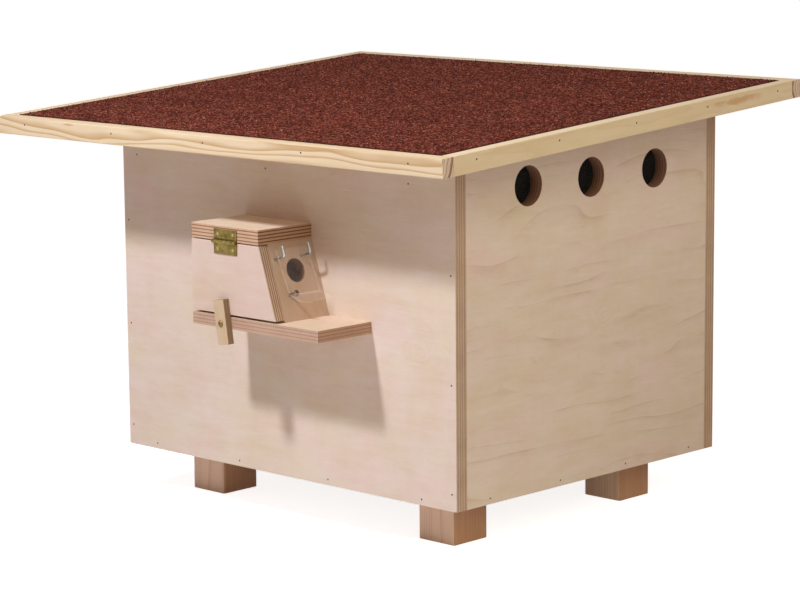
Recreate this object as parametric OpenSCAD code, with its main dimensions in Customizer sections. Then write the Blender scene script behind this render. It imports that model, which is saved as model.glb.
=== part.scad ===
// Bumblebee nest box: a plywood box on four feet under a felted mono-pitch roof, with a small
// porch on the front wall that the bees enter through a hanging clear flap.
// Millimetres. +Z is up, the front wall faces -Y, and the origin lies on the ground under the
// middle of the roof.

/* [Box] */
// Width of the box across the front wall
box_w = 480; // [440:5:600]
// Depth of the box from its front face to its back face
box_d = 400; // [380:5:520]
// Height of the front wall's outer face
front_h = 345; // [330:5:420]
// Thickness of the wall plywood
wall_t = 15; // [12:1:18]
// Thickness of the floor plywood, which lies between the walls
floor_t = 12; // [9:1:18]

/* [Feet] */
// Width of a square foot
foot_w = 49; // [40:1:60]
// Height of a foot
foot_h = 50; // [30:1:80]
// Distance of a foot from the outer faces of the walls
foot_inset = 47.5; // [20:0.5:70]
// Radius of a foot's upright edges
foot_round = 3; // [1:0.5:6]

/* [Roof] */
// Pitch of the roof in degrees, low at the front
roof_pitch = 3.8; // [2:0.2:8]
// Overhang past the front wall, along the slope
roof_front = 102; // [95:1:140]
// Overhang past the back wall, along the slope
roof_back = 40; // [30:1:80]
// Overhang past each side wall
roof_side = 80; // [40:1:120]
// Thickness of the roof plywood
roof_t = 15; // [9:1:18]
// Thickness of the mineral felt on it
felt_t = 3.5; // [3:0.5:5]
// Height of the battens that frame the roof
batten_h = 18.5; // [18:0.5:30]
// Thickness of those battens
batten_t = 15; // [12:1:22]
// Gap between the felt's edge and the battens
felt_gap = 1; // [0.5:0.5:3]

/* [Vents] */
// Diameter of the round vents
vent_dia = 40; // [30:1:50]
// Depth of the vents' centres below the front wall's top
vent_drop = 38; // [35:1:80]
// Distance of the front vent from the front face
vent_front = 105; // [85:1:130]
// Distance of the middle vent from the front face
vent_middle = 199.5; // [185:0.5:220]
// Distance of the back vent from the front face
vent_back = 299.5; // [280:0.5:320]
// Thickness of the insect mesh over the vents' inner ends
mesh_t = 0.8; // [0.5:0.1:1.5]
// Width of the mesh that laps onto the wall around a vent
mesh_lap = 14; // [6:1:20]

/* [Porch] */
// Distance of the porch's closed side from the box's left edge
porch_x = 188; // [120:1:220]
// Depth of the porch from the front wall
porch_d = 73; // [66:1:90]
// Length of the porch roof
porch_w = 97; // [90:1:120]
// Clear height between the landing board and the porch roof
porch_h = 75.5; // [72:0.5:95]
// Height of the landing board's underside above the box's underside
landing_z = 162; // [110:1:180]
// Length of the landing board
landing_len = 179; // [165:1:200]
// Thickness of the porch plywood
porch_t = 12; // [10:0.5:14]
// Thickness of the porch roof
porch_roof_t = 15; // [12:1:18]
// How far the entrance board's foot stands out past its head
slant_run = 24; // [15:1:30]
// Gap between the door and the landing board
door_gap_low = 2.3; // [1.5:0.1:4]
// Gap between the door and the porch roof
door_gap_high = 1.2; // [0.8:0.1:2.5]
// Clearance between the door and the boards behind it
door_clear = 0.3; // [0.2:0.1:1]
// Diameter of the entry hole in the entrance board
entry_dia = 24; // [18:1:26]
// Distance of the entry hole's centre from the entrance board's top, down the slope
entry_down = 29.5; // [28:0.5:36]
// Distance of the entry hole's centre from the door's inner face
entry_in = 30; // [26:1:36]
// Diameter of the passage through the front wall behind the porch
passage_dia = 24; // [18:1:26]
// Height of that passage's centre above the landing board
passage_up = 32; // [26:1:44]

/* [Hinge] */
// Length of the hinge
hinge_len = 33; // [25:1:40]
// Distance of the hinge from the porch's closed side
hinge_x = 34; // [10:1:45]
// Height of one leaf from the pin's axis
leaf_h = 12.3; // [10:0.1:16]
// Thickness of the leaves
leaf_t = 1; // [0.8:0.1:1.5]
// Outer diameter of the knuckles
knuckle_dia = 4.4; // [4:0.2:6]
// Diameter of the hinge pin
pin_dia = 2; // [1.6:0.1:2.2]
// How far the pin stands out of the knuckles at its left end
pin_out = 2; // [0.5:0.5:3]

/* [Flap] */
// Diameter of the hooks' wire
wire_dia = 2.4; // [1.8:0.1:2.6]
// Distance between the two hooks
hook_gap = 35.4; // [32:0.2:38]
// Distance of the front hook from the door's inner face
hook_in = 5.6; // [4:0.2:7]
// Distance of the hooks from the entrance board's top, down the slope
hook_down = 16; // [14:0.5:20]
// How far the hooks stand out from the entrance board
hook_reach = 16; // [14:0.5:22]
// Length of the hooks' upturned ends
hook_tip = 10.7; // [6:0.1:14]
// Distance of the flap's holes from the entrance board, along the hooks
flap_off = 8.5; // [7.5:0.1:9.5]
// Width of the flap
flap_w = 42; // [40:0.5:46]
// Length of the flap's flat part below its pivot
flap_down = 40; // [36:0.5:46]
// Length of the flap above its pivot
flap_up = 6.5; // [5:0.1:7]
// Thickness of the clear sheet
flap_t = 1.5; // [1:0.1:2]
// Length of the flap's outward lip
lip_len = 17; // [10:0.5:22]
// Bend of the lip from the flat part, in degrees
lip_bend = 50; // [30:1:70]
// Angle that the stop screw holds the flap off the entrance board, in degrees
flap_stand = 6.5; // [5:0.1:9]
// Diameter of the flap's two holes
flap_hole = 6; // [5.5:0.1:6.5]

/* [Stop screw] */
// Diameter of the stop screw's shank
stop_dia = 3.2; // [2.5:0.1:4]
// Diameter of its round head
stop_head = 6.5; // [5:0.1:8]
// Distance of the stop screw from the entrance board's top, down the slope
stop_down = 53; // [50:0.5:54]
// Distance of the stop screw from the door's inner face
stop_in = 15; // [13:0.5:20]

/* [Turn button] */
// Length of the turn button
button_len = 45; // [38:1:50]
// Width of the turn button
button_w = 15; // [12:0.5:18]
// Thickness of the turn button
button_t = 7.5; // [6:0.5:10]
// Distance of its screw from its lower end
button_pivot = 21.5; // [18:0.5:25]
// Lean of the closed button, top towards the porch's closed side, in degrees
button_lean = 9; // [0:0.5:15]
// Distance of its screw from the porch's closed side
button_x = 49.5; // [25:0.5:70]
// Diameter of its screw
screw_dia = 3; // [2.5:0.1:4]
// Diameter of its screw's head
screw_head = 6.4; // [5.5:0.1:8]

/* [Hidden] */
$fn = 64;

// Clearance of a shank in its hole, and of pieces that lie against each other but move
fit_gap = 0.05;
play = 0.3;
// How far screws and hooks go into the wood
thread_in = 9;
// Overshoot of a cutting solid past the face that it cuts
over = 1;

// Height of the vents' centres above the box's underside
vent_z = front_h - vent_drop;

// The roof, measured along its slope from the front wall's outer face
roof_w = box_w + 2 * roof_side;
slope_len = roof_front + box_d / cos(roof_pitch) + roof_back;
// Front edge and back edge of the roof in plan, and the middle between them, which is the origin
roof_y0 = -roof_front * cos(roof_pitch) - batten_h * sin(roof_pitch);
roof_y1 = (slope_len - roof_front) * cos(roof_pitch);
front_y = -(roof_y0 + roof_y1) / 2;

// Height of the roof's underside above the box's underside, at y behind the front face
function roof_z(y) = front_h + y * tan(roof_pitch);

// Heights in the porch above the box's underside
landing_top = landing_z + porch_t;
porch_top = landing_top + porch_h;
// Lean of the entrance board from upright
slant = atan(slant_run / porch_h);
// Place of the entrance board's outer face, from the porch's closed side, at a height
function slant_x(z) = porch_w + (porch_top - z) * tan(slant);
// Level of the door's lower and upper edges
door_z0 = landing_top + door_gap_low;
door_z1 = porch_top - door_gap_high;
// The hinge pin's axis: midway up the gap over the door, with the knuckles just off the wood
hinge_z = (door_z1 + porch_top) / 2;
hinge_y = -porch_d - knuckle_dia / 2 - fit_gap;
knuckles = 5;
// A leaf's two screw holes: their place along it, their diameters behind and in front of the
// countersink, and how deep that goes
leaf_hole_share = 0.17;
leaf_hole = 2.2;
leaf_sink = 4.2;
leaf_sink_depth = 0.9;

// Distances out from the front wall, on the entrance board
door_in = porch_d - porch_t;
hook_out = door_in - hook_in - hook_gap;
entry_out = door_in - entry_in;
stop_out = door_in - stop_in;

// Distance of the flap's pivot above the hooks' axis, which lets the flap turn on the wire
pivot_play = 0.1;
pivot_up = wire_dia / 2 + flap_t / 2 + pivot_play;
// The flap's inner face over the stop screw, from the entrance board
stop_reach = flap_off + (stop_down - hook_down) * tan(flap_stand) - flap_t / cos(flap_stand) / 2
             - stop_head / 2 * tan(flap_stand) - play;
// Heights of the two round heads
stop_head_h = 2.4;
screw_head_h = 1.8;

plywood = "#dcc7ac";
plywood_side = "#c4a98c";
pine = "#d9bd8f";
felt = "#6a3228";
larch = "#b08a72";
brass = "#9a8440";
zinc = "#b9bcc0";
bronzed = "#7a5a44";
screen = "#202022";
clear_sheet = "#dfe8ea";

// ---------- Frames ----------

// x from the box's middle, y from the front wall's outer face, z from the box's underside
module in_box() { translate([0, front_y, foot_h]) children(); }

// x from the porch's closed side, in the box's frame
module in_porch() { in_box() translate([porch_x - box_w / 2, 0, 0]) children(); }

// The roof's underside: y runs up the slope from over the front wall's outer face
module on_slope() { in_box() translate([0, 0, front_h]) rotate([roof_pitch, 0, 0]) children(); }

// The entrance board's outer face: x stands out of the board and z runs up its slope.
// The point is given by its distance down the slope and out from the front wall.
module on_entrance(down, out) {
    in_porch() translate([porch_w, -out, porch_top]) rotate([0, -slant, 0])
        translate([0, 0, -down]) children();
}

// ---------- Shared shapes ----------

// A board with upright sides between x0 and x1, and y0 and y1, cut to the roof's slope on top
module wall_board(x0, x1, y0, y1) {
    translate([x0, 0, 0]) rotate([90, 0, 90]) linear_extrude(x1 - x0)
        polygon([[y0, 0], [y1, 0], [y1, roof_z(y1)], [y0, roof_z(y0)]]);
}

// A board drawn from the front in x and z, standing between out0 and out1 from the front wall
module front_board(points, out0, out1) {
    translate([0, -out0, 0]) rotate([90, 0, 0]) linear_extrude(out1 - out0) polygon(points);
}

// A screw hole along x, into the wood from x = 0
module pilot_hole(dia) {
    translate([-thread_in - over, 0, 0]) rotate([0, 90, 0])
        cylinder(d = dia + 2 * fit_gap, h = thread_in + 2 * over);
}

// ---------- Box ----------

module floor_panel() {
    color(plywood) in_box() translate([-box_w / 2 + wall_t, wall_t, 0])
        cube([box_w - 2 * wall_t, box_d - 2 * wall_t, floor_t]);
}

module front_wall() {
    passage_x = porch_x - box_w / 2 + porch_t + (porch_w - porch_t) / 2;
    color(plywood) in_box() difference() {
        wall_board(-box_w / 2, box_w / 2, 0, wall_t);
        translate([passage_x, wall_t + over, landing_top + passage_up]) rotate([90, 0, 0])
            cylinder(d = passage_dia, h = wall_t + 2 * over);
    }
}

module back_wall() {
    color(plywood) in_box() wall_board(-box_w / 2, box_w / 2, box_d - wall_t, box_d);
}

// The right wall; the left one is its mirror image
module side_wall() {
    difference() {
        wall_board(box_w / 2 - wall_t, box_w / 2, wall_t, box_d - wall_t);
        for (y = [vent_front, vent_middle, vent_back])
            translate([box_w / 2 - wall_t - over, y, vent_z]) rotate([0, 90, 0])
                cylinder(d = vent_dia, h = wall_t + 2 * over);
    }
}

module side_mesh() {
    reach = vent_dia / 2 + mesh_lap;
    translate([box_w / 2 - wall_t - mesh_t, vent_front - reach, vent_z - reach])
        cube([mesh_t, vent_back - vent_front + 2 * reach, 2 * reach]);
}

module right_wall() { color(plywood_side) in_box() side_wall(); }
module left_wall() { color(plywood_side) in_box() mirror([1, 0, 0]) side_wall(); }
module vent_mesh_right() { color(screen) in_box() side_mesh(); }
module vent_mesh_left() { color(screen) in_box() mirror([1, 0, 0]) side_mesh(); }

// A foot under the floor. side is -1 for left and 1 for right, back is 0 for front and 1 for back.
module foot(side, back) {
    x = side * (box_w / 2 - foot_inset - foot_w / 2);
    near = foot_inset + foot_w / 2;
    color(larch) in_box() translate([x, back ? box_d - near : near, -foot_h])
        linear_extrude(foot_h) rounded_square(foot_w, foot_round);
}

module rounded_square(w, r) {
    square([w - 2 * r, w], center = true);
    square([w, w - 2 * r], center = true);
    for (x = [-1, 1], y = [-1, 1])
        translate([x * (w / 2 - r), y * (w / 2 - r)]) circle(r);
}

// ---------- Roof ----------

module roof_panel() {
    color(plywood) on_slope() translate([-roof_w / 2 + batten_t, -roof_front + batten_t, 0])
        cube([roof_w - 2 * batten_t, slope_len - 2 * batten_t, roof_t]);
}

module roof_felt() {
    edge = batten_t + felt_gap;
    color(felt) on_slope() translate([-roof_w / 2 + edge, -roof_front + edge, roof_t])
        cube([roof_w - 2 * edge, slope_len - 2 * edge, felt_t]);
}

// The front and back battens run the whole width, and the side ones butt between them
module long_batten(y) {
    color(pine) on_slope() translate([-roof_w / 2, y, 0]) cube([roof_w, batten_t, batten_h]);
}

module side_batten(x) {
    color(pine) on_slope() translate([x, -roof_front + batten_t, 0])
        cube([batten_t, slope_len - 2 * batten_t, batten_h]);
}

// ---------- Porch ----------

module landing_board() {
    color(plywood) in_porch() difference() {
        translate([0, -porch_d, landing_z]) cube([landing_len, porch_d, porch_t]);
        translate([button_x, -porch_d, landing_z + porch_t / 2]) rotate([0, 0, -90])
            pilot_hole(screw_dia);
    }
}

module porch_side() {
    color(plywood) in_porch()
        translate([0, door_clear + porch_t - porch_d, landing_top])
            cube([porch_t, porch_d - porch_t - door_clear, porch_h]);
}

module porch_roof() {
    color(plywood) in_porch() translate([0, -porch_d, porch_top])
        cube([porch_w, porch_d, porch_roof_t]);
}

module porch_door() {
    color(plywood) in_porch()
        front_board([[0, door_z0], [slant_x(door_z0), door_z0], [slant_x(door_z1), door_z1],
                     [0, door_z1]], porch_d - porch_t, porch_d);
}

module entrance_board() {
    across = porch_t / cos(slant);
    color(plywood) difference() {
        in_porch() front_board([[slant_x(landing_top) - across, landing_top],
                                [slant_x(landing_top), landing_top],
                                [porch_w, porch_top], [porch_w - across, porch_top]],
                               0, porch_d - porch_t - door_clear);
        on_entrance(entry_down, entry_out) translate([-porch_t - over, 0, 0])
            rotate([0, 90, 0]) cylinder(d = entry_dia, h = porch_t + 2 * over);
        for (out = [hook_out, hook_out + hook_gap])
            on_entrance(hook_down, out) pilot_hole(wire_dia);
        on_entrance(stop_down, stop_out) pilot_hole(stop_dia);
    }
}

// ---------- Hinge ----------

// The axis of the hinge pin, from the hinge's left end
module at_hinge() { in_porch() translate([hinge_x, hinge_y, hinge_z]) children(); }

// A leaf that rises from the pin, with every second knuckle starting with number first.
// Its screw holes are countersunk from the front.
module hinge_leaf(first) {
    part_len = hinge_len / knuckles;
    back = knuckle_dia / 2;
    root = knuckle_dia / 2 + play;
    difference() {
        union() {
            translate([0, back - leaf_t, root]) cube([hinge_len, leaf_t, leaf_h - root]);
            for (k = [first : 2 : knuckles - 1]) translate([k * part_len + play / 2, 0, 0]) {
                rotate([0, 90, 0]) cylinder(d = knuckle_dia, h = part_len - play);
                translate([0, back - leaf_t, 0]) cube([part_len - play, leaf_t, root + over]);
            }
        }
        translate([-over, 0, 0]) rotate([0, 90, 0])
            cylinder(d = pin_dia + 2 * fit_gap, h = hinge_len + 2 * over);
        for (x = [hinge_len * leaf_hole_share, hinge_len * (1 - leaf_hole_share)])
            translate([x, back + over, (root + leaf_h) / 2]) rotate([90, 0, 0]) {
                cylinder(d = leaf_hole, h = leaf_t + 2 * over);
                translate([0, 0, over + leaf_t - leaf_sink_depth])
                    cylinder(d1 = leaf_hole, d2 = leaf_sink, h = 1);
            }
    }
}

module hinge_leaf_upper() { color(brass) at_hinge() hinge_leaf(0); }
module hinge_leaf_lower() { color(brass) at_hinge() mirror([0, 0, 1]) hinge_leaf(1); }
module hinge_pin() {
    color(brass) at_hinge() translate([-pin_out, 0, 0]) rotate([0, 90, 0])
        cylinder(d = pin_dia, h = hinge_len + pin_out);
}

// ---------- Hooks and flap ----------

// A wire hook that stands out of the entrance board and turns up the slope
module hook(out) {
    bend = wire_dia;
    reach = hook_reach - wire_dia / 2 - bend;
    color(zinc) on_entrance(hook_down, out) {
        translate([-thread_in, 0, 0]) rotate([0, 90, 0]) cylinder(d = wire_dia, h = thread_in + reach);
        translate([reach, 0, bend]) rotate([90, 0, 0]) rotate([0, 0, -90])
            rotate_extrude(angle = 90) translate([bend, 0]) circle(d = wire_dia);
        translate([reach + bend, 0, bend]) cylinder(d = wire_dia, h = hook_tip - bend);
    }
}

// The flap in its own frame: the pivot is the y axis, x points away from the entrance board,
// and the flat part hangs down z.
module flap_sheet() {
    // Inner radius of the bend, its centre, and the reach of the wedge that cuts it from a ring
    inner = flap_t;
    turn = [inner + flap_t / 2, -flap_down];
    reach = 3 * inner;
    difference() {
        translate([0, flap_w / 2, 0]) rotate([90, 0, 0]) linear_extrude(flap_w) {
            translate([-flap_t / 2, -flap_down]) square([flap_t, flap_down + flap_up]);
            translate(turn) intersection() {
                difference() {
                    circle(inner + flap_t);
                    circle(inner);
                }
                polygon([[0, 0], [-reach, 0], [-reach, -reach * tan(lip_bend)]]);
            }
            translate(turn) rotate(lip_bend)
                translate([-inner - flap_t, -lip_len]) square([flap_t, lip_len]);
        }
        for (y = [-hook_gap / 2, hook_gap / 2])
            translate([-flap_t, y, -flap_hole / 2]) rotate([0, 90, 0])
                cylinder(d = flap_hole, h = 2 * flap_t);
    }
}

module flap() {
    color(clear_sheet, 0.4) on_entrance(hook_down, hook_out + hook_gap / 2)
        translate([flap_off, 0, pivot_up]) rotate([0, -flap_stand, 0]) flap_sheet();
}

module stop_screw() {
    neck = stop_reach - stop_head_h;
    color(bronzed) on_entrance(stop_down, stop_out) {
        translate([-thread_in, 0, 0]) rotate([0, 90, 0]) cylinder(d = stop_dia, h = thread_in + neck);
        translate([neck, 0, 0]) rotate([0, 90, 0]) cylinder(d = stop_head, h = stop_head_h);
    }
}

// ---------- Turn button ----------

// The button's screw on the landing board's front edge: x points out of the edge
module at_button() {
    in_porch() translate([button_x, -porch_d, landing_z + porch_t / 2]) rotate([0, 0, -90]) children();
}

module turn_button() {
    color(plywood) at_button() rotate([button_lean, 0, 0]) difference() {
        translate([play, -button_w / 2, -button_pivot]) cube([button_t, button_w, button_len]);
        rotate([0, 90, 0]) cylinder(d = screw_dia + 2 * fit_gap, h = button_t + 2 * over);
    }
}

module button_screw() {
    head_at = button_t + 2 * play;
    color(brass) at_button() {
        translate([-thread_in, 0, 0]) rotate([0, 90, 0]) cylinder(d = screw_dia, h = thread_in + head_at);
        translate([head_at, 0, 0]) rotate([0, 90, 0]) cylinder(d = screw_head, h = screw_head_h);
    }
}

// ---------- Nodes ----------

floor_panel();
front_wall();
back_wall();
left_wall();
right_wall();
vent_mesh_left();
vent_mesh_right();
foot(-1, 0);  // foot_front_left
foot(1, 0);  // foot_front_right
foot(-1, 1);  // foot_back_left
foot(1, 1);  // foot_back_right
roof_panel();
roof_felt();
long_batten(-roof_front);  // batten_front
long_batten(slope_len - roof_front - batten_t);  // batten_back
side_batten(-roof_w / 2);  // batten_left
side_batten(roof_w / 2 - batten_t);  // batten_right
landing_board();
porch_side();
porch_roof();
porch_door();
entrance_board();
hinge_leaf_upper();
hinge_leaf_lower();
hinge_pin();
hook(hook_out + hook_gap);  // hook_front
hook(hook_out);  // hook_rear
flap();
stop_screw();
turn_button();
button_screw();
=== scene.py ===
"""The looks of a bumblebee nest box: raw birch plywood and pine under a granule-faced felt roof,
with a small porch, its brass hinge, wire hooks, clear flap and turn button.

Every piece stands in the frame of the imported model, in metres. Patterns are sized in millimetres."""

import math

import bmesh
import bpy
import numpy as np
from mathutils import Matrix, Quaternion, Vector
from mathutils.bvhtree import BVHTree


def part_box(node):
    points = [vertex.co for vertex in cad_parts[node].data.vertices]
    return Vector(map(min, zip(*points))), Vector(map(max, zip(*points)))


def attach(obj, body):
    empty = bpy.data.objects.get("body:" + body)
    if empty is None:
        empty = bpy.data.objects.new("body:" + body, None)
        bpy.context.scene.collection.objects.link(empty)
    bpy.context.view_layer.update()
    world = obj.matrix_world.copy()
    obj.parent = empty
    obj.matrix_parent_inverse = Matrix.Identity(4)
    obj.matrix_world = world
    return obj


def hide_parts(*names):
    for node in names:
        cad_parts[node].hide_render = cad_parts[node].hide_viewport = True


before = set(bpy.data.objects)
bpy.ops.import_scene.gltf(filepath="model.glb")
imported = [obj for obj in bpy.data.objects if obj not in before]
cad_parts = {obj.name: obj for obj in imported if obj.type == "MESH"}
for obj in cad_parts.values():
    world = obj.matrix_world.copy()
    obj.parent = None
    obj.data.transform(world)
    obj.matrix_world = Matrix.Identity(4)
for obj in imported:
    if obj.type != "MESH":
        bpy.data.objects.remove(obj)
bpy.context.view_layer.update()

MM = 0.001
UP = Vector((0, 0, 1))
FRONT = Vector((0, -1, 0))
BACK = Vector((0, 1, 0))
RIGHT = Vector((1, 0, 0))
LEFT = Vector((-1, 0, 0))


# ---------- Camera ----------

CAMERA_AT = Vector((2.0237, -2.0903, 0.6882))
CAMERA_AZIMUTH = math.radians(44.018)
CAMERA_ELEVATION = math.radians(9.317)
CAMERA_ROLL = math.radians(-0.506)
CAMERA_LENS = 125.87


def place_camera():
    """A long lens a little above the roof, turned to the corner between the front and the right."""
    data = bpy.data.cameras.new("camera")
    data.lens = CAMERA_LENS
    data.clip_start, data.clip_end = 0.1, 100
    camera = bpy.data.objects.new("camera", data)
    bpy.context.scene.collection.objects.link(camera)
    flat = math.cos(CAMERA_ELEVATION)
    back = Vector((math.sin(CAMERA_AZIMUTH) * flat, -math.cos(CAMERA_AZIMUTH) * flat,
                   math.sin(CAMERA_ELEVATION)))
    camera.location = CAMERA_AT
    camera.rotation_mode = "QUATERNION"
    camera.rotation_quaternion = (-back).to_track_quat("-Z", "Y") @ Quaternion((0, 0, 1), CAMERA_ROLL)
    bpy.context.scene.camera = camera


place_camera()


# ---------- Small tools ----------

# The kinds of node that the materials use most
MATH = "ShaderNodeMath"
MIX = "ShaderNodeMix"
RAMP = "ShaderNodeValToRGB"
NOISE = "ShaderNodeTexNoise"
SPLIT = "ShaderNodeSeparateXYZ"
RANGE = "ShaderNodeMapRange"


def colour(code):
    """A hex sRGB colour as the linear values that shaders take."""
    parts = [int(code[i:i + 2], 16) / 255 for i in (1, 3, 5)]
    return [c / 12.92 if c <= 0.04045 else ((c + 0.055) / 1.055) ** 2.4 for c in parts] + [1.0]


def node(tree, kind, inputs=(), out=0, stops=(), **settings):
    """Adds a node, sets it, links it, and returns its output named or numbered out.

    inputs holds values or other nodes' outputs, in the order of the sockets or by their names.
    stops are a colour ramp's places with a grey value or a hex colour each. out=None returns
    the node itself."""
    made = tree.nodes.new(kind)
    for name, value in settings.items():
        setattr(made, name, value)
    for key, value in inputs.items() if isinstance(inputs, dict) else enumerate(inputs):
        if isinstance(value, bpy.types.NodeSocket):
            tree.links.new(value, made.inputs[key])
        else:
            made.inputs[key].default_value = value
    if stops:
        places = made.color_ramp.elements
        while len(places) < len(stops):
            places.new(0.5)
        for place, (at, shade) in zip(places, stops):
            place.position = at
            place.color = colour(shade) if isinstance(shade, str) else (shade, shade, shade, 1)
    return made if out is None else made.outputs[out]


def blend(tree, share, first, second, kind="MIX"):
    """Two colours, mixed, overlaid or multiplied by that share."""
    return node(tree, MIX, {0: share, 6: first, 7: second}, out=2, data_type="RGBA", blend_type=kind)


def times(tree, *factors):
    """The product of two outputs or values."""
    return node(tree, MATH, factors, operation="MULTIPLY")


def material(name, **sockets):
    """A new material, its tree and its Principled shader, with the shader's own sockets set."""
    made = bpy.data.materials.new(name)
    made.use_nodes = True
    shader = made.node_tree.nodes["Principled BSDF"]
    for key, value in sockets.items():
        shader.inputs[key.replace("_", " ")].default_value = value
    return made, made.node_tree, shader


def wire(tree, shader, **sources):
    """Links outputs to the shader's sockets of those names."""
    for key, source in sources.items():
        tree.links.new(source, shader.inputs[key.replace("_", " ")])


def linked(mesh, name):
    """An object of that mesh, at the origin."""
    made = bpy.data.objects.new(name, mesh)
    bpy.context.scene.collection.objects.link(made)
    return made


def finish_piece(piece, look, body, slot, *stands_for):
    """Gives a finished piece its material and its body, and hides the nodes that it stands for. Its slot is
    not used.
    """
    piece.data.materials.clear()
    piece.data.materials.append(look)
    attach(piece, body)
    if stands_for:
        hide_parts(*stands_for)
    return piece


def reach(name, way):
    """How far a CAD node reaches along a direction: its lowest and its highest point."""
    places = [v.co.dot(way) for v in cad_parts[name].data.vertices]
    return min(places), max(places)


def evaluated(carrier, modifier):
    """Turns what a modifier makes of a piece into its plain mesh, and takes the modifier away."""
    graph = bpy.context.evaluated_depsgraph_get()
    made = bpy.data.meshes.new_from_object(carrier.evaluated_get(graph))
    carrier.modifiers.remove(modifier)
    carrier.data = made
    return carrier


def grown(carrier, tree, **values):
    """Runs a Geometry Nodes tree on a carrier mesh, with the tree's inputs set by name."""
    modifier = carrier.modifiers.new(tree.name, "NODES")
    modifier.node_group = tree
    for item in tree.interface.items_tree:
        if item.item_type == "SOCKET" and item.in_out == "INPUT" and item.name in values:
            modifier[item.identifier] = values[item.name]
    return evaluated(carrier, modifier)


def new_tree(name, **inputs):
    """An empty Geometry Nodes tree with named inputs. Returns it, its input node and its output."""
    tree = bpy.data.node_groups.new(name, "GeometryNodeTree")
    tree.interface.new_socket("Geometry", in_out="INPUT", socket_type="NodeSocketGeometry")
    tree.interface.new_socket("Geometry", in_out="OUTPUT", socket_type="NodeSocketGeometry")
    for key, kind in inputs.items():
        tree.interface.new_socket(key, in_out="INPUT", socket_type="NodeSocket" + kind)
    return tree, node(tree, "NodeGroupInput", out=None), node(tree, "NodeGroupOutput", out=None)


def close_tree(tree, shape, look, end):
    """Ends a tree: its instances become real and take their material."""
    real = node(tree, "GeometryNodeRealizeInstances", {"Geometry": shape})
    done = node(tree, "GeometryNodeSetMaterial", {"Geometry": real, "Material": look})
    tree.links.new(done, end.inputs[0])


# ---------- Boards ----------

# Sanded arris of a plywood edge, the rounder one of planed softwood, and a foot's, in mm
PLY_ARRIS = 0.35
PINE_ARRIS = 0.8
FOOT_ARRIS = 0.6
# The place of the knot of a board that has none
NO_KNOT = (0, 9)
# Points nearer than this in metres are one. Faces that turn less than the first angle are one
# face, those that turn more than the last meet in an arris, and those between the second and the
# third are parts of a curve.
MERGE = 1e-6
ONE_FACE, CURVE_FROM, CURVE_TO, CORNER = (math.radians(turn) for turn in (0.5, 1, 16, 30))
# A face belongs to the sheet's two sides where its normal runs this closely with its thickness
SHEET_SIDE = 0.75


def softened(name, arris):
    """A copy of a CAD solid with its loose triangles merged and its sharp edges rounded."""
    form = bmesh.new()
    form.from_mesh(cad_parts[name].data)
    bmesh.ops.remove_doubles(form, verts=form.verts, dist=MERGE)
    bmesh.ops.dissolve_limit(form, angle_limit=ONE_FACE, verts=form.verts, edges=form.edges)
    sharp = [e for e in form.edges if e.is_manifold and e.calc_face_angle(0) > CORNER]
    bmesh.ops.bevel(form, geom=sharp, offset=arris * MM, offset_type="OFFSET", segments=2,
                    profile=0.5, affect="EDGES", clamp_overlap=True)
    for face in form.faces:
        turns = [e.calc_face_angle(0) for e in face.edges if e.is_manifold]
        face.smooth = any(CURVE_FROM < turn < CURVE_TO for turn in turns)
    mesh = bpy.data.meshes.new(name)
    form.to_mesh(mesh)
    form.free()
    return mesh


def store(mesh, name, values, domain="POINT"):
    """Keeps vectors, one row for each point or face, as an attribute of the mesh."""
    attribute = mesh.attributes.new(name, "FLOAT_VECTOR", domain)
    attribute.data.foreach_set("vector", np.asarray(values, np.float32).ravel())


def know_grain(mesh, along, through, plies, shift, figure, tints, knot):
    """Stores where each point of a board lies in its sheet, and how each face was cut.

    board is millimetres along the grain, millimetres across it from the board's middle, and
    plies (or millimetres) through the thickness from the outer face. cut is 0 on a face, 1 on
    a sawn edge and 2 inside a drilled hole, then how squarely the face cuts across the grain,
    and then how strongly the figure shows: figure holds that for the faces and for the edges,
    and tints the tone of each, which on some boards is painted shade. knot is the way from the
    board's knot, which lies at a share of its length and height."""
    points = np.array([v.co for v in mesh.vertices]) / MM
    depth = points @ np.array(through)
    depth = depth.max() - depth
    if plies:
        depth *= plies / depth.max()
    length = points @ np.array(along)
    across = points @ np.array(Vector(through).cross(Vector(along)))
    across -= (across.min() + across.max()) / 2
    store(mesh, "board", np.stack([length + shift[0], across + shift[1], depth], axis=1))
    store(mesh, "knot", np.stack([length - length.min() - knot[0] * np.ptp(length),
                                  across - across.min() - knot[1] * np.ptp(across), 0 * depth], axis=1))
    normals = np.array([p.normal for p in mesh.polygons])
    sawn = np.abs(normals @ np.array(through)) < SHEET_SIDE
    drilled = sawn * np.array([p.use_smooth for p in mesh.polygons])
    store(mesh, "cut", np.stack([sawn * 1.0 + drilled, np.abs(normals @ np.array(along)),
                                 np.where(sawn, figure[1], figure[0])], axis=1), "FACE")
    store(mesh, "tint", [colour(tints[edge])[:3] for edge in sawn * 1], "FACE")


def add_board(name, look, slot, along, through, body="box", plies=0, arris=PLY_ARRIS, shift=(0, 0),
              figure=(1.0, 1.0), tints=("#FFFFFF", "#FFFFFF"), knot=NO_KNOT):
    """Replaces a CAD board with a softened copy that carries its grain."""
    mesh = softened(name, arris)
    know_grain(mesh, along, through, plies, shift, figure, tints, knot)
    return finish_piece(linked(mesh, name + "_" + slot), look, body, slot, name)


def add_smooth(name, look, slot, body="box", arris=0.15):
    """Replaces a small metal or plastic CAD solid with a softened, smooth-shaded copy."""
    return finish_piece(linked(softened(name, arris), name + "_" + slot), look, body, slot, name)


# ---------- Wood ----------

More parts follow.
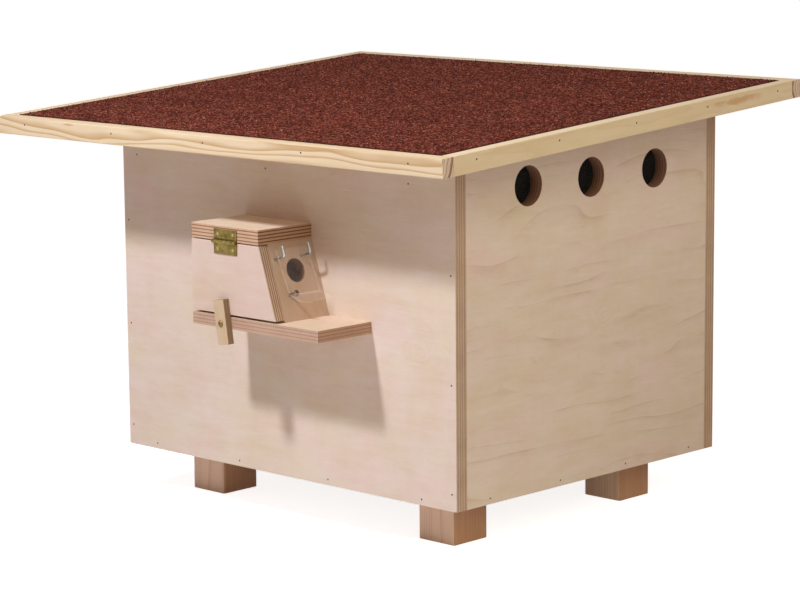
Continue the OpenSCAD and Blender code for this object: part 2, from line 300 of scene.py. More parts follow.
def grain(tree, board, along_mm, across_mm, detail=2.0, rough=0.5, at=(0, 0, 0)):
    """Noise whose blobs are that long along the grain and that wide across it."""
    scale = (1 / along_mm, 1 / across_mm, 1 / across_mm)
    drawn = node(tree, "ShaderNodeMapping", {"Vector": board, "Location": at, "Scale": scale})
    return node(tree, NOISE, {"Vector": drawn, "Scale": 1.0, "Detail": detail, "Roughness": rough})


def read_board(tree):
    """What know_grain stored: the place in the sheet, the three values of the cut, and the tint."""
    board, cut, tint = (node(tree, "ShaderNodeAttribute", out="Vector", attribute_name=name)
                        for name in ("board", "cut", "tint"))
    return board, node(tree, SPLIT, (cut,), out=None).outputs, tint


def from_knot(tree, longer):
    """Millimetres from the board's knot, where a stain or swirl is so many times longer than high."""
    way = node(tree, "ShaderNodeAttribute", out="Vector", attribute_name="knot")
    round_way = node(tree, "ShaderNodeVectorMath", (way, (1 / longer, 1, 0)), operation="MULTIPLY")
    return node(tree, "ShaderNodeVectorMath", (round_way,), out="Value", operation="LENGTH")


# Spacing of the growth rings that a rotary-cut face shows, and how far they wander
FACE_RING_MM = 19
FACE_WANDER = 6.0
# How far the fibres swirl round a pin knot, across the grain, and how many rings close round it
SWIRL_MM = 27
SWIRL_RINGS = 3.0


def birch_plywood():
    """Birch multiplex, sanded and left raw.

    Its rotary-cut faces are pale and silky, pinkish in places, with thin tan growth lines that
    wander and fade. Sawn edges show the plies as pale bands with thinner brown ones between,
    darker where the saw crossed the fibres, and the walls of drilled holes are darkened brown
    as painted shade."""
    look, tree, shader = material("birch plywood", Specular_IOR_Level=0.25)
    board, cut, tint = read_board(tree)
    place = node(tree, SPLIT, (board,), out=None).outputs

    # The face: contour lines of a slowly wandering surface, drawn into a swirl at a pin knot
    wander = times(tree, grain(tree, board, 300, 95, 2.0), FACE_WANDER)
    count = node(tree, MATH, (place[1], FACE_RING_MM), operation="DIVIDE")
    lines = node(tree, MATH, (wander, count), operation="ADD")
    away = node(tree, MATH, (grain(tree, board, 24, 14, 2.0), 16.0, from_knot(tree, 1.6)),
                operation="MULTIPLY_ADD")
    swirl = node(tree, RANGE, (away, 0.0, SWIRL_MM, SWIRL_RINGS, 0.0),
                 interpolation_type="SMOOTHSTEP")
    lines = node(tree, MATH, (lines, swirl), operation="ADD")
    ring = node(tree, RAMP, (node(tree, MATH, (lines,), operation="FRACT"),),
                stops=((0.0, 0.0), (0.55, 0.12), (0.88, 0.5), (0.955, 1.0), (1.0, 0.0)))
    shown = node(tree, RAMP, (grain(tree, board, 120, 26, 3.0, 0.6),), stops=((0.47, 0.0), (0.72, 1.0)))
    near = node(tree, RANGE, (away, SWIRL_MM * 0.6, SWIRL_MM, 0.4, 0.0))
    shown = node(tree, MATH, (times(tree, shown, cut[2]), near), operation="MAXIMUM")
    line = times(tree, ring, shown)
    warm = node(tree, RAMP, (grain(tree, board, 95, 60, 4.0, 0.6),),
                stops=((0.36, "#E5D4BB"), (0.5, "#E5D2BD"), (0.64, "#E9D3C4")))
    face = blend(tree, times(tree, line, 0.36), warm, colour("#B58B66"))
    # Silky blotches, knife bands, clouds and fibres, then the dark flecks and pale dashes of
    # the rays: length and width in mm, detail, roughness and place, and the tones
    blotch, bands, clouds, fibre, fleck, dash = (
        node(tree, RAMP, (grain(tree, board, *sizes),), stops=tones) for sizes, tones in (
            ((62, 36, 3.0, 0.6, (11, 0, 0)), ((0.3, 0.455), (0.7, 0.545))),
            ((16, 90, 1.0), ((0.3, 0.485), (0.7, 0.515))),
            ((60, 9, 3.0, 0.6, (7, 0, 0)), ((0.3, 0.46), (0.7, 0.54))),
            ((14, 0.8, 3.0, 0.65), ((0.25, 0.41), (0.75, 0.59))),
            ((9, 0.6, 1.0, 0.5, (3, 0, 0)), ((0.66, 0.0), (0.76, 1.0))),
            ((26, 1.5, 2.0, 0.5, (5, 0, 0)), ((0.6, 0.0), (0.75, 1.0)))))
    for share, tones in ((1.0, blotch), (0.8, clouds), (0.6, bands), (0.3, fibre)):
        face = blend(tree, share, face, tones, "OVERLAY")
    for spots, share, shade in ((fleck, 0.16, "#9C7454"), (dash, 0.3, "#F3E6D6")):
        face = blend(tree, times(tree, spots, share), face, colour(shade))

    # The sawn edge: pale plies with the thinner dark look of the crossed ones between them
    square = cut[1]
    pair = node(tree, MATH, (times(tree, place[2], 0.5),), operation="FRACT")
    dark = node(tree, RAMP, (pair,), stops=((0.52, 0.0), (0.60, 1.0), (0.86, 0.9), (0.94, 0.0)))
    dark = node(tree, MATH, (dark, cut[2]), operation="MULTIPLY", use_clamp=True)
    ply = node(tree, "ShaderNodeCombineXYZ", {2: node(tree, MATH, (place[2],), operation="FLOOR")})
    own = node(tree, "ShaderNodeTexWhiteNoise", {"Vector": ply}, noise_dimensions="3D")
    pale = blend(tree, square, colour("#DEC7AE"), colour("#C9AE93"))
    brown = blend(tree, square, colour("#A5815F"), colour("#7E583E"))
    edge = blend(tree, dark, pale, brown)
    fuzz = grain(tree, board, 1.2, 1.2, 3.0, 0.7)
    streak = grain(tree, board, 26, 26, 3.0, 0.6)
    for share, source, tones in ((0.45, fuzz, ((0.3, 0.36), (0.7, 0.60))),
                                 (0.5, streak, ((0.3, 0.42), (0.7, 0.58))),
                                 (0.3, own, ((0.0, 0.42), (1.0, 0.56)))):
        tone = node(tree, RAMP, (source,), stops=tones)
        edge = blend(tree, share, edge, tone, "OVERLAY")
    # Drilled holes are darkened brown: painted shade inside the bores
    painted_bore_shade = node(tree, MATH, (cut[0], 1.0), operation="SUBTRACT", use_clamp=True)
    edge = blend(tree, times(tree, painted_bore_shade, 0.75), edge, colour("#96654A"), "MULTIPLY")

    is_edge = node(tree, MATH, (cut[0], 1.0), operation="MINIMUM")
    dull = node(tree, RANGE, (fibre, 0.3, 0.7, 0.54, 0.68))
    matt = times(tree, is_edge, 0.85)
    sunk = times(tree, times(tree, dark, is_edge), fuzz)
    relief = node(tree, MATH, (fibre, sunk), operation="SUBTRACT")
    raw = blend(tree, is_edge, face, edge)
    wire(tree, shader, Base_Color=blend(tree, 1.0, raw, tint, "MULTIPLY"),
         Roughness=node(tree, MATH, (dull, matt), operation="MAXIMUM"),
         Normal=node(tree, "ShaderNodeBump", {"Strength": 0.25, "Distance": 0.00012, "Height": relief}))
    return look


# Distances from a knot's middle, across the grain, at which its resin stain starts to fade and ends
STAIN_FULL_MM = 4.5
STAIN_END_MM = 8.5


def softwood(name, early, late, end, end_late, ring_mm, wobble, contrast, pith, seed):
    """A solid softwood with its growth rings right through it.

    Faces along the length show wavy lines that open into arches where a ring leaves the board,
    and sawn ends show the rings as arcs. Sticks with little figure have yellow and brown
    patches of sapwood instead, where the planer glazed them, and a resin stain at the knot."""
    look, tree, shader = material(name, Specular_IOR_Level=0.3)
    board, cut, tint = read_board(tree)

    # Distance from the pith, which lies outside the stick and wanders along it
    flat = node(tree, "ShaderNodeVectorMath", (board, (0, 1, 1)), operation="MULTIPLY")
    beside = node(tree, "ShaderNodeVectorMath", (flat, pith), operation="ADD")
    radius = node(tree, "ShaderNodeVectorMath", (beside,), out="Value", operation="LENGTH")
    drift = times(tree, grain(tree, board, 260, 36, 2.0, 0.5, (seed, 0, 0)), wobble)
    bent = node(tree, MATH, (radius, drift), operation="ADD")
    years = node(tree, MATH, (bent, ring_mm), operation="DIVIDE")
    # Good and poor years make wide and narrow rings
    growth = node(tree, NOISE, {"W": years, "Scale": 0.45, "Detail": 1.0}, noise_dimensions="1D")
    years = node(tree, MATH, (years, times(tree, growth, 2.2)), operation="ADD")
    ring = node(tree, MATH, (years,), operation="FRACT")
    late_wood = node(tree, RAMP, (ring,),
                     stops=((0.0, 0.0), (0.45, 0.05), (0.80, 0.7), (0.92, 1.0), (1.0, 0.0)))
    tone = grain(tree, board, 120, 22, 2.0, 0.5, (seed, 3, 0))
    deeper = blend(tree, 0.32, colour(early), colour(late))
    ground = blend(tree, tone, colour(early), deeper)
    strong = times(tree, times(tree, late_wood, contrast), cut[2])
    wood = blend(tree, strong, ground, colour(late))
    plain = node(tree, MATH, (1.0, cut[2]), operation="SUBTRACT", use_clamp=True)
    patch = node(tree, RAMP, (grain(tree, board, 46, 12, 3.0, 0.6, (seed, 9, 0)),),
                 stops=((0.50, 0.0), (0.66, 0.45)))
    wood = blend(tree, times(tree, patch, plain), wood, colour("#DCC795"))
    off = node(tree, MATH, (grain(tree, board, 18, 5, 2.0, 0.6, (seed, 6, 0)), 7.0, from_knot(tree, 10.0)),
               operation="MULTIPLY_ADD")
    stained = node(tree, RANGE, (off, STAIN_FULL_MM, STAIN_END_MM, 0.7, 0.0),
                   interpolation_type="SMOOTHSTEP")
    wood = blend(tree, stained, wood, colour("#C9985C"))
    fibre = node(tree, RAMP, (grain(tree, board, 20, 0.7, 3.0, 0.65),), stops=((0.25, 0.40), (0.75, 0.60)))
    wood = blend(tree, 0.4, wood, fibre, "OVERLAY")
    thin = node(tree, MATH, (late_wood, 1.8), operation="POWER")
    sawn = blend(tree, thin, colour(end), colour(end_late))
    is_end = node(tree, RAMP, (cut[1],), stops=((0.6, 0.0), (0.8, 1.0)))
    relief = node(tree, MATH, (fibre, late_wood), operation="ADD")
    raw = blend(tree, is_end, wood, sawn)
    wire(tree, shader, Base_Color=blend(tree, 1.0, raw, tint, "MULTIPLY"),
         Roughness=node(tree, RANGE, (late_wood, 0.0, 1.0, 0.62, 0.48)),
         Normal=node(tree, "ShaderNodeBump", {"Strength": 0.3, "Distance": 0.0002, "Height": relief}))
    return look


BIRCH = birch_plywood()
PINE = softwood("planed pine", "#F0DEB9", "#C0935A", "#E6CDB2", "#6E4430", ring_mm=3.0, wobble=15.0,
                contrast=0.85, pith=(0, -10, 33), seed=3)
LARCH = softwood("planed larch", "#FADCC0", "#C8946E", "#A87656", "#6A412C", ring_mm=2.4, wobble=6.0,
                 contrast=0.42, pith=(0, 12, 60), seed=11)


# ---------- Felt, metal and plastic ----------

# Width of a mineral granule, coarser than real felt's 1 to 2 mm so that it shows, width of the
# clumps and the broad blotches that the rolling leaves, and of the dark strip of painted shade
# along the sheet's edge where it meets the battens
GRANULE_MM = 2.4
CLUMP_MM = 5.0
BLOTCH_MM = 45
EDGE_SHADE_MM = 5.0


def clumped(tree, here, shade):
    """Darkens and lightens granules in clumps and in broad blotches of roll pressure, and darkens a
    strip along the sheet's edge as painted shade.
    """
    for width, detail, rough, darkest, share in ((CLUMP_MM, 2.0, 0.7, 0.24, 0.75),
                                                 (BLOTCH_MM, 3.0, 0.5, 0.42, 0.7)):
        cloud = node(tree, NOISE, {"Vector": here, "Scale": 1 / (width * MM), "Detail": detail,
                                   "Roughness": rough})
        tones = node(tree, RAMP, (cloud,), stops=((0.30, darkest), (0.70, 1 - darkest)))
        shade = blend(tree, share, shade, tones, "OVERLAY")
    # How far inside the sheet's edges a point lies
    low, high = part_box("roof_felt")
    place = node(tree, SPLIT, (here,), out=None).outputs
    inside = []
    for axis in (0, 1):
        off = node(tree, MATH, (place[axis], (low[axis] + high[axis]) / 2), operation="SUBTRACT")
        off = node(tree, MATH, (off,), operation="ABSOLUTE")
        inside.append(node(tree, MATH, ((high[axis] - low[axis]) / 2, off), operation="SUBTRACT"))
    least = node(tree, MATH, tuple(inside), operation="MINIMUM")
    # A dark strip along the sheet's edge: painted shade where the felt meets the battens
    edge_shade = node(tree, RANGE, (least, EDGE_SHADE_MM * 0.3 * MM, EDGE_SHADE_MM * MM, 0.75, 0.0))
    return blend(tree, edge_shade, shade, colour("#2C1007"))


def mineral_felt():
    """Bitumen felt faced with crushed, ceramic-coated slate.

    The granules lie packed on edge and flat, each its own shade of oxide red, with dark gaps
    of bitumen between them. It is matt and rough, and slightly blotchy from roll pressure."""
    look, tree, shader = material("mineral felt", Roughness=0.95, Specular_IOR_Level=0.05)
    here = node(tree, "ShaderNodeTexCoord", out="Object")
    cells = node(tree, "ShaderNodeTexVoronoi", {"Vector": here, "Scale": 1 / (GRANULE_MM * MM)}, out=None)
    pick = node(tree, "ShaderNodeSeparateColor", (cells.outputs["Color"],))
    shade = node(tree, RAMP, (pick,),
                 stops=((0.0, "#3A150D"), (0.35, "#6C2D20"), (0.7, "#8C4434"), (1.0, "#AC6852")))
    gap = node(tree, RAMP, (cells.outputs["Distance"],), stops=((0.35, 0.0), (0.75, 0.85)))
    dark = blend(tree, gap, shade, colour("#190B08"))
    height = node(tree, MATH, (1.0, cells.outputs["Distance"]), operation="SUBTRACT")
    wire(tree, shader, Base_Color=clumped(tree, here, dark),
         Normal=node(tree, "ShaderNodeBump", {"Strength": 0.8, "Distance": 0.0006, "Height": height}))
    return look


def loose_granules():
    """The proud granules of the felt: the same crushed slate, one shade to a granule."""
    look, tree, shader = material("slate granule", Roughness=0.9, Specular_IOR_Level=0.05)
    here = node(tree, "ShaderNodeTexCoord", out="Object")
    tone = node(tree, "ShaderNodeAttribute", out="Fac", attribute_name="tone")
    shade = node(tree, RAMP, (tone,),
                 stops=((0.0, "#2E100A"), (0.4, "#6C2E22"), (0.8, "#90503D"), (1.0, "#B87E66")))
    grit = node(tree, NOISE, {"Vector": here, "Scale": 2500.0, "Detail": 2.0})
    rough = blend(tree, 0.3, shade, grit, "OVERLAY")
    wire(tree, shader, Base_Color=clumped(tree, here, rough),
         Normal=node(tree, "ShaderNodeBump", {"Strength": 0.5, "Distance": 0.0002, "Height": grit}))
    return look


def metal(name, clean, dull, rough, grain_mm, share):
    """A thin worn metal finish: bright where it is handled, dull and blotchy elsewhere."""
    look, tree, shader = material(name, Metallic=1.0)
    here = node(tree, "ShaderNodeTexCoord", out="Object")
    cloud = node(tree, NOISE, {"Vector": here, "Scale": 1 / (grain_mm * MM), "Detail": 4.0,
                               "Roughness": 0.65})
    worn = node(tree, RAMP, (cloud,), stops=((0.5 - share, 0.0), (0.5 + share, 1.0)))
    wire(tree, shader, Base_Color=blend(tree, worn, colour(clean), colour(dull)),
         Roughness=node(tree, RANGE, (worn, 0.0, 1.0, rough, rough + 0.2)),
         Normal=node(tree, "ShaderNodeBump", {"Strength": 0.15, "Distance": 0.0001, "Height": cloud}))
    return look


def clear_acrylic():
    """Cast acrylic sheet, sawn and bent warm: glossy, nearly invisible faces with faint wiping
    scratches, and pale frosted edges where the saw and the drill went through.

    So thin a sheet hardly bends the light, so it is a faint veil and not a lens. A whitish band
    on the bend's faces is a painted reflection."""
    look, tree, shader = material("clear acrylic", Base_Color=colour("#F3E4DA"), IOR=1.49,
                                  Specular_IOR_Level=1.0)
    here = node(tree, "ShaderNodeTexCoord", out="Object")
    longer = node(tree, "ShaderNodeMapping", {"Vector": here, "Scale": (300, 300, 2500)})
    scratch = node(tree, NOISE, {"Vector": longer, "Scale": 1.0, "Detail": 3.0})
    clear = node(tree, RANGE, (scratch, 0.3, 0.8, 0.03, 0.08))
    cut = node(tree, "ShaderNodeAttribute", out="Vector", attribute_name="cut")
    sawn = node(tree, SPLIT, (cut,), out=0)
    frost = node(tree, NOISE, {"Vector": here, "Scale": 1800.0, "Detail": 2.0})
    frosted = node(tree, RANGE, (frost, 0.3, 0.7, 0.45, 0.75))
    veil = node(tree, RANGE, (scratch, 0.3, 0.8, 0.03, 0.07))
    # The bend's faces get a whitish, less clear band: a painted reflection
    veil_and_bend_reflection = node(tree, MATH, (node(tree, SPLIT, (cut,), out=1), 0.17, veil), operation="MULTIPLY_ADD")
    pale = node(tree, RANGE, (frost, 0.3, 0.7, 0.12, 0.24))
    wire(tree, shader, Roughness=node(tree, MIX, {0: sawn, 2: clear, 3: frosted}),
         Alpha=node(tree, MIX, {0: sawn, 2: veil_and_bend_reflection, 3: pale}))
    return look


def black_screen():
    """Coated fly-screen thread: near black, faintly glossy, with dust on the crowns."""
    look, tree, shader = material("coated screen", Specular_IOR_Level=0.4)
    here = node(tree, "ShaderNodeTexCoord", out="Object")
    dust = node(tree, NOISE, {"Vector": here, "Scale": 180.0, "Detail": 3.0})
    wire(tree, shader, Base_Color=node(tree, RAMP, (dust,), stops=((0.35, "#0C0D0D"), (0.75, "#1C1E1D"))),
         Roughness=node(tree, RANGE, (dust, 0.3, 0.8, 0.4, 0.7)))
    return look


FELT = mineral_felt()
GRANULES = loose_granules()
BRASS = metal("aged rolled brass", "#9E8A4C", "#5A4C26", 0.30, 7.0, 0.22)
SCREW_BRASS = metal("turned brass", "#CDB87C", "#8A7440", 0.25, 1.5, 0.2)
DARK_BRASS = metal("dull turned brass", "#A88E56", "#5A4826", 0.26, 1.5, 0.2)
ZINC = metal("zinc plate", "#C9CDD2", "#9FA4AA", 0.22, 2.0, 0.2)
BRONZED = metal("bronzed steel", "#8A6A4C", "#4A3424", 0.32, 1.5, 0.2)
# The brad heads are coloured dark brown: painted shade of the dimples that sunk brads leave
STEEL = metal("brad steel with painted dimple shade", "#6A5648", "#3A2C24", 0.45, 1.0, 0.25)
ACRYLIC = clear_acrylic()
SCREEN = black_screen()


# ---------- Roof and porch slopes ----------

front_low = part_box("batten_front")[0]
back_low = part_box("batten_back")[0]
entry_low, entry_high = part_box("entrance_board")
pitch = math.atan2(back_low.z - front_low.z, back_low.y - front_low.y)
slant = math.atan2(entry_high.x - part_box("porch_roof")[1].x, entry_high.z - entry_low.z)
UP_SLOPE = Vector((0, math.cos(pitch), math.sin(pitch)))
OFF_ROOF = Vector((0, -math.sin(pitch), math.cos(pitch)))
UP_ENTRANCE = Vector((-math.sin(slant), 0, math.cos(slant)))
OFF_ENTRANCE = Vector((math.cos(slant), 0, math.sin(slant)))


# ---------- Wooden pieces ----------

def add_woodwork():
    """Every board with its grain direction, its outer face and its own place on the sheet."""
    white = ("#FFFFFF", "#FFFFFF")
    thick, thin = 9, 7
    ply = (
        ("front_wall", RIGHT, FRONT, thick, (0, 0), (0.35, 0.5), white, (0.895, 0.43)),
        ("back_wall", RIGHT, BACK, thick, (900, 300), (0.6, 0.5), white, (0.3, 0.6)),
        ("right_wall", BACK, RIGHT, thick, (2100, 700), (1.5, 0.5), white, (0.55, 0.45)),
        ("left_wall", BACK, LEFT, thick, (3300, 1500), (0.8, 0.8), white, (0.2, 0.3)),
        ("floor_panel", RIGHT, -UP, thin, (500, 2300), (1.0, 0.8), white, (0.6, 0.4)),
        ("roof_panel", RIGHT, -OFF_ROOF, thin, (1500, 2700), (1.0, 0.8), white, (0.9, 0.8)),
        ("landing_board", RIGHT, UP, thin, (700, 900), (0.5, 0.5), ("#FBF5EC", "#E8D8D2"), NO_KNOT),
        ("porch_side", BACK, LEFT, thin, (1300, 400), (0.5, 0.8), white, NO_KNOT),
        ("porch_roof", RIGHT, UP, thick, (2600, 100), (0.5, 1.2), ("#FFFBF2", "#F0E0D4"), NO_KNOT),
        ("porch_door", RIGHT, FRONT, thick, (3900, 800), (0.3, 1.0), ("#F7F1F0", "#FFFFFF"), NO_KNOT),
        # The entrance board is tinted darker, face and edges alike: painted shade from the roof and wall
        ("entrance_board", UP_ENTRANCE, OFF_ENTRANCE, thin, (4700, 200), (0.3, 0.8),
         ("#DCCFC4", "#DCCFC4"), NO_KNOT),
    )
    for name, along, through, plies, shift, figure, tints, knot in ply:
        add_board(name, BIRCH, "birch_plywood", along, through, plies=plies, shift=shift, figure=figure,
                  tints=tints, knot=knot)
    # The button's edges are tinted much darker than its face: painted shade on its sides
    add_board("turn_button", BIRCH, "birch_plywood", UP, FRONT, body="button", plies=5, shift=(5100, 60),
              figure=(0.2, 0.4), tints=("#ECE2CC", "#B0A490"))
    pine = (
        ("batten_front", RIGHT, -UP_SLOPE, (0, 0), 1.0, NO_KNOT),
        ("batten_back", RIGHT, UP_SLOPE, (1700, 6), 0.6, NO_KNOT),
        ("batten_left", UP_SLOPE, LEFT, (3100, 3), 0.8, NO_KNOT),
        ("batten_right", UP_SLOPE, RIGHT, (4300, 9), 0.2, (0.82, 0.6)),
    )
    for name, along, through, shift, figure, knot in pine:
        add_board(name, PINE, "pine", along, through, arris=PINE_ARRIS, shift=shift,
                  figure=(figure, figure), knot=knot)
    for number, name in enumerate(("foot_front_left", "foot_front_right", "foot_back_left",
                                   "foot_back_right")):
        # The feet's sawn sides and ends are tinted darker than their fronts and backs: painted shade
        add_board(name, LARCH, "larch", UP, FRONT, arris=FOOT_ARRIS, shift=(900 * number, 7 * number),
                  tints=("#FFFFFF", "#D6BEA8"))


add_woodwork()


# ---------- Felt ----------

# Least distance between the loose chips, their smallest and largest radius, and the seed of
# their places
CHIP_STEP_MM = 2.9
CHIP_SMALL_MM, CHIP_LARGE_MM = 0.6, 1.15
CHIP_SEED = 7
# More chips for each square metre than the distance between them allows, so that it decides
CHIP_DENSITY = 400000.0


def granule_tree():
    """Angular chips of slate strewn over a surface, none nearer than the spacing to the next."""
    tree, start, end = new_tree("granules", Spacing="Float", Smallest="Float", Largest="Float",
                                Seed="Int", Material="Material")
    given = start.outputs
    spots = node(tree, "GeometryNodeDistributePointsOnFaces",
                 {"Mesh": given["Geometry"], "Distance Min": given["Spacing"], "Density Max": CHIP_DENSITY,
                  "Seed": given["Seed"]}, out="Points", distribute_method="POISSON")
    chip = node(tree, "GeometryNodeMeshCone", {"Vertices": 3, "Radius Top": 0.0, "Radius Bottom": 1.0,
                                               "Depth": 1.3}, out="Mesh")
    turn = node(tree, "FunctionNodeRandomValue", {0: (0, 0, 0), 1: (6.28, 6.28, 6.28)},
                data_type="FLOAT_VECTOR")
    size = node(tree, "FunctionNodeRandomValue", {2: given["Smallest"], 3: given["Largest"], "Seed": 4},
                out=1, data_type="FLOAT")
    strewn = node(tree, "GeometryNodeInstanceOnPoints", {"Points": spots, "Instance": chip,
                                                         "Rotation": turn, "Scale": size})
    tone = node(tree, "FunctionNodeRandomValue", {2: 0.0, 3: 1.0, "Seed": 9}, out=1, data_type="FLOAT")
    toned = node(tree, "GeometryNodeStoreNamedAttribute", {"Geometry": strewn, "Name": "tone", "Value": tone},
                 data_type="FLOAT", domain="INSTANCE")
    close_tree(tree, toned, given["Material"], end)
    return tree


def add_felt():
    """The felt sheet keeps its solid, and its proudest granules are strewn over it."""
    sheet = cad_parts["roof_felt"]
    sheet.data.materials.clear()
    sheet.data.materials.append(FELT)
    form = bmesh.new()
    form.from_mesh(sheet.data)
    bmesh.ops.remove_doubles(form, verts=form.verts, dist=MERGE)
    hidden = [f for f in form.faces if f.normal.dot(OFF_ROOF) < 0.99]
    bmesh.ops.delete(form, geom=hidden, context="FACES")
    top = bpy.data.meshes.new("felt_top")
    form.to_mesh(top)
    form.free()
    strewn = grown(linked(top, "felt_granules"), granule_tree(), Spacing=CHIP_STEP_MM * MM,
                   Smallest=CHIP_SMALL_MM * MM, Largest=CHIP_LARGE_MM * MM, Seed=CHIP_SEED,
                   Material=GRANULES)
    finish_piece(strewn, GRANULES, "box", "mineral_felt")


add_felt()


# ---------- Vent screens ----------

def screen_tree():
    """A plain weave: every thread dips under and rises over the threads that it crosses."""
    tree, start, end = new_tree("screen", Length="Float", Height="Float", Columns="Int", Rows="Int",
                                Thread="Float", Material="Material")
    given = start.outputs
    columns = node(tree, MATH, (given["Columns"], 1.0), operation="SUBTRACT")
    rows = node(tree, MATH, (given["Rows"], 1.0), operation="SUBTRACT")
    column = node(tree, MATH, (given["Length"], columns), operation="DIVIDE")
    row = node(tree, MATH, (given["Height"], rows), operation="DIVIDE")
    # +1 and -1 by turns, as on a chessboard, for over and under
    place = node(tree, SPLIT, (node(tree, "GeometryNodeInputPosition"),), out=None).outputs
    across = node(tree, MATH, (node(tree, MATH, (place[0], column), operation="DIVIDE"),), operation="ROUND")
    upward = node(tree, MATH, (node(tree, MATH, (place[1], row), operation="DIVIDE"),), operation="ROUND")
    odd = node(tree, MATH, (node(tree, MATH, (across, upward), operation="ADD"), 2.0),
               operation="FLOORED_MODULO")
    over = node(tree, MATH, (odd, 2.0, -1.0), operation="MULTIPLY_ADD")
    half = times(tree, given["Thread"], 0.5)
    lift = times(tree, over, half)
    profile = node(tree, "GeometryNodeCurvePrimitiveCircle", {"Resolution": 4, "Radius": half})
    both = node(tree, "GeometryNodeJoinGeometry", out=None)
    for length, knots, copies, step, axis, side in (
            (given["Length"], given["Columns"], given["Rows"], row, 0, 1.0),
            (given["Height"], given["Rows"], given["Columns"], column, 1, -1.0)):
        end_at = node(tree, "ShaderNodeCombineXYZ", {axis: length})
        thread = node(tree, "GeometryNodeCurvePrimitiveLine", {"End": end_at})
        thread = node(tree, "GeometryNodeResampleCurve", {"Curve": thread, "Count": knots})
        beside = node(tree, "ShaderNodeCombineXYZ", {1 - axis: step})
        spots = node(tree, "GeometryNodeMeshLine", {"Count": copies, "Offset": beside})
        laid = node(tree, "GeometryNodeInstanceOnPoints", {"Points": spots, "Instance": thread})
        laid = node(tree, "GeometryNodeRealizeInstances", {"Geometry": laid})
        raised = node(tree, "ShaderNodeCombineXYZ", {2: times(tree, lift, side)})
        woven = node(tree, "GeometryNodeSetPosition", {"Geometry": laid, "Offset": raised})
        threads = node(tree, "GeometryNodeCurveToMesh", {"Curve": woven, "Profile Curve": profile,
                                                         "Fill Caps": True})
        tree.links.new(threads, both.inputs[0])
    close_tree(tree, both.outputs[0], given["Material"], end)
    return tree


# Spacing and thickness of the screen's threads in mm, a little coarser than fly screen so that
# they show
THREAD_STEP = 1.8
THREAD = 0.38


def add_screens():
    """A woven strip behind each row of vents, in place of the plain sheet."""
    tree = screen_tree()
    for side in ("left", "right"):
        low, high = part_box("vent_mesh_" + side)
        long, tall = high.y - low.y - THREAD * MM, high.z - low.z - THREAD * MM
        strip = grown(linked(bpy.data.meshes.new("strip"), "vent_screen_" + side), tree, Length=long,
                      Height=tall, Columns=round(long / MM / THREAD_STEP) + 1,
                      Rows=round(tall / MM / THREAD_STEP) + 1, Thread=THREAD * MM, Material=SCREEN)
        middle = Vector(((low.x + high.x) / 2, low.y + THREAD * MM / 2, low.z + THREAD * MM / 2))
        upright = Matrix(((0, 0, 1, middle.x), (1, 0, 0, middle.y), (0, 1, 0, middle.z), (0, 0, 0, 1)))
        strip.data.transform(upright)
        finish_piece(strip, SCREEN, "box", "insect_mesh", "vent_mesh_" + side)


add_screens()


# ---------- Fasteners ----------

def rounded(mesh):
    """Shades a form smooth, except across its corners."""
    mesh.shade_smooth()
    mesh.set_sharp_from_angle(angle=math.radians(35))
    return mesh


def turned(profile, segments=24):
    """A shape turned from a profile of (radius, height) in millimetres, about +Z."""
    form = bmesh.new()
    spots = [form.verts.new((radius * MM, 0, height * MM)) for radius, height in profile]
    rim = [form.edges.new(pair) for pair in zip(spots, spots[1:])]
    bmesh.ops.spin(form, geom=spots + rim, cent=(0, 0, 0), axis=(0, 0, 1), angle=math.tau, steps=segments)
    bmesh.ops.remove_doubles(form, verts=form.verts, dist=1e-7)
    bmesh.ops.recalc_face_normals(form, faces=form.faces)
    mesh = bpy.data.meshes.new("turned")
    form.to_mesh(mesh)
    form.free()
    return rounded(mesh)


def dome(radius, height, low, steps=6):
    """Profile points of a domed head: from its rim at that radius and low level to its crown."""
    return [(radius * math.cos(math.pi / 2 * i / steps), low + height * math.sin(math.pi / 2 * i / steps))
            for i in range(steps + 1)]


def cross_cut(head, top, reach_mm, width, depth):
    """Sinks a cross recess into a head's crown, narrower at its foot."""
    form = bmesh.new()
    for turn in (0, math.pi / 2):
        made = bmesh.ops.create_cube(form, size=1)["verts"]
        for vert in made:
            narrow = 1.0 if vert.co.z > 0 else 0.45
            vert.co.x *= 2 * reach_mm * MM * narrow
            vert.co.y *= width * MM * (0.6 + 0.4 * narrow)
            vert.co.z = (top + 0.2) * MM if vert.co.z > 0 else (top - depth) * MM
        bmesh.ops.rotate(form, verts=made, matrix=Matrix.Rotation(turn, 3, "Z"))
    mesh = bpy.data.meshes.new("cutter")
    form.to_mesh(mesh)
    form.free()
    cutter = linked(mesh, "cutter")
    modifier = head.modifiers.new("recess", "BOOLEAN")
    modifier.object = cutter
    modifier.operation = "DIFFERENCE"
    modifier.solver = "EXACT"
    modifier.use_self = True
    rounded(evaluated(head, modifier).data)
    bpy.data.objects.remove(cutter)
    return head


